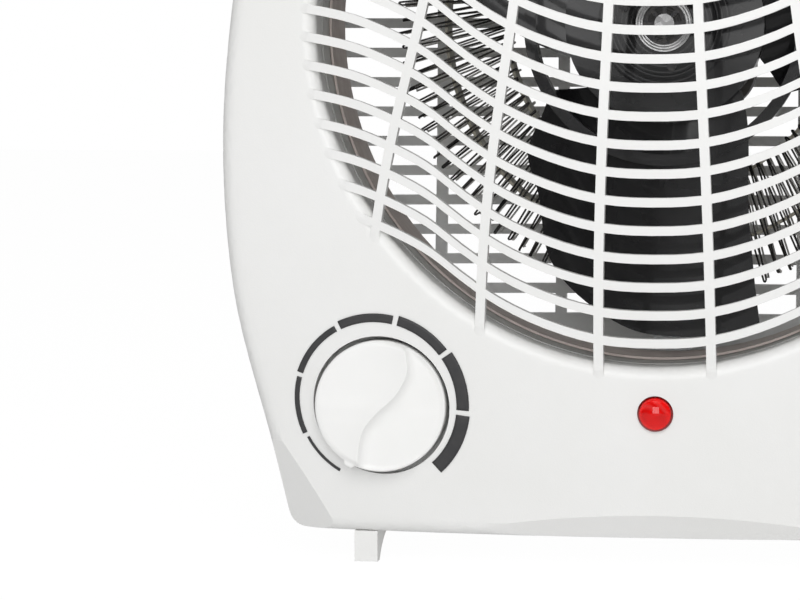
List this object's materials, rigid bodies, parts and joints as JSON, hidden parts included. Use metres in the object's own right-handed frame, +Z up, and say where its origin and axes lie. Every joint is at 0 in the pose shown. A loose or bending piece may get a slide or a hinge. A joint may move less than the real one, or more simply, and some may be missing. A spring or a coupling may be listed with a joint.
{
  "type": "fan heater",
  "caption": "Upright fan heater with a pillow-shaped white body, round wave-bar grille, two dials, pilot lamp, black paddle impeller and zigzag heating element.",
  "frame": {"origin": "centre of the bounding box on the plane that the feet stand on", "axes": "the grille faces -Y, +X is the viewer's right, +Z is up"},
  "size_m": [0.223, 0.118, 0.252],
  "materials": {
    "white_plastic": "satin moulded",
    "black_metal": "glossy black coating",
    "steel": "zinc plated",
    "bright_steel": "polished",
    "core_steel": "laminated sheets",
    "copper_winding": "enamelled wire",
    "bronze": "sintered",
    "mica": "pressed mica sheet",
    "resistance_wire": "oxidised",
    "red_lens": "clear red",
    "lamp_glass": "clear",
    "dark_plastic": "moulded",
    "switch_plastic": "moulded",
    "spindle_brass": "turned"
  },
  "bodies": {
    "housing": {"front_housing": "white_plastic", "rear_housing": "white_plastic", "foot_left": "white_plastic", "foot_right": "white_plastic", "housing_screws": "steel", "duct_shield": "steel", "shield_screws": "steel", "motor_spacers": "steel", "motor_screws": "steel", "bracket_screws": "steel", "front_bearing_cap": "steel", "rear_bearing_cap": "steel", "thermal_cutout": "steel", "mica_sleeve": "mica", "mica_inner_ring": "mica", "mica_outer_ring": "mica", "mica_board_1": "mica", "mica_board_2": "mica", "mica_board_3": "mica", "motor_bracket": "black_metal", "motor_front_plate": "black_metal", "motor_rear_plate": "black_metal", "stator_core": "core_steel", "stator_coil_left": "copper_winding", "stator_coil_right": "copper_winding", "front_bearing": "bronze", "rear_bearing": "bronze", "heating_wire_front_1": "resistance_wire", "heating_wire_front_2": "resistance_wire", "heating_wire_front_3": "resistance_wire", "heating_wire_rear_1": "resistance_wire", "heating_wire_rear_2": "resistance_wire", "heating_wire_rear_3": "resistance_wire", "thermostat_body": "switch_plastic", "selector_switch": "switch_plastic", "lamp_lens": "red_lens", "lamp_bulb": "lamp_glass", "lamp_holder": "dark_plastic", "terminal_block": "dark_plastic", "cable_gland": "dark_plastic", "thermal_fuse": "dark_plastic"},
    "impeller": {"impeller": "black_metal", "hub_bushing": "bright_steel", "star_washer": "steel", "hub_rivets": "steel", "motor_shaft": "bright_steel", "rotor": "core_steel"},
    "thermostat_knob": {"thermostat_dial": "white_plastic", "thermostat_spindle": "spindle_brass"},
    "selector_knob": {"selector_dial": "white_plastic", "selector_spindle": "spindle_brass"}
  },
  "joints": [
    {"name": "impeller_spin", "type": "hinge", "parent": "housing", "child": "impeller", "pos_m": [0, 0, 0.1387], "axis": [0, 1, 0], "continuous": true},
    {"name": "thermostat_turn", "type": "hinge", "parent": "housing", "child": "thermostat_knob", "pos_m": [-0.0703, 0, 0.0416], "axis": [0, 1, 0], "range_deg": [0, 285]},
    {"name": "selector_turn", "type": "hinge", "parent": "housing", "child": "selector_knob", "pos_m": [0.0703, 0, 0.0416], "axis": [0, 1, 0], "range_deg": [0, 135]}
  ]
}
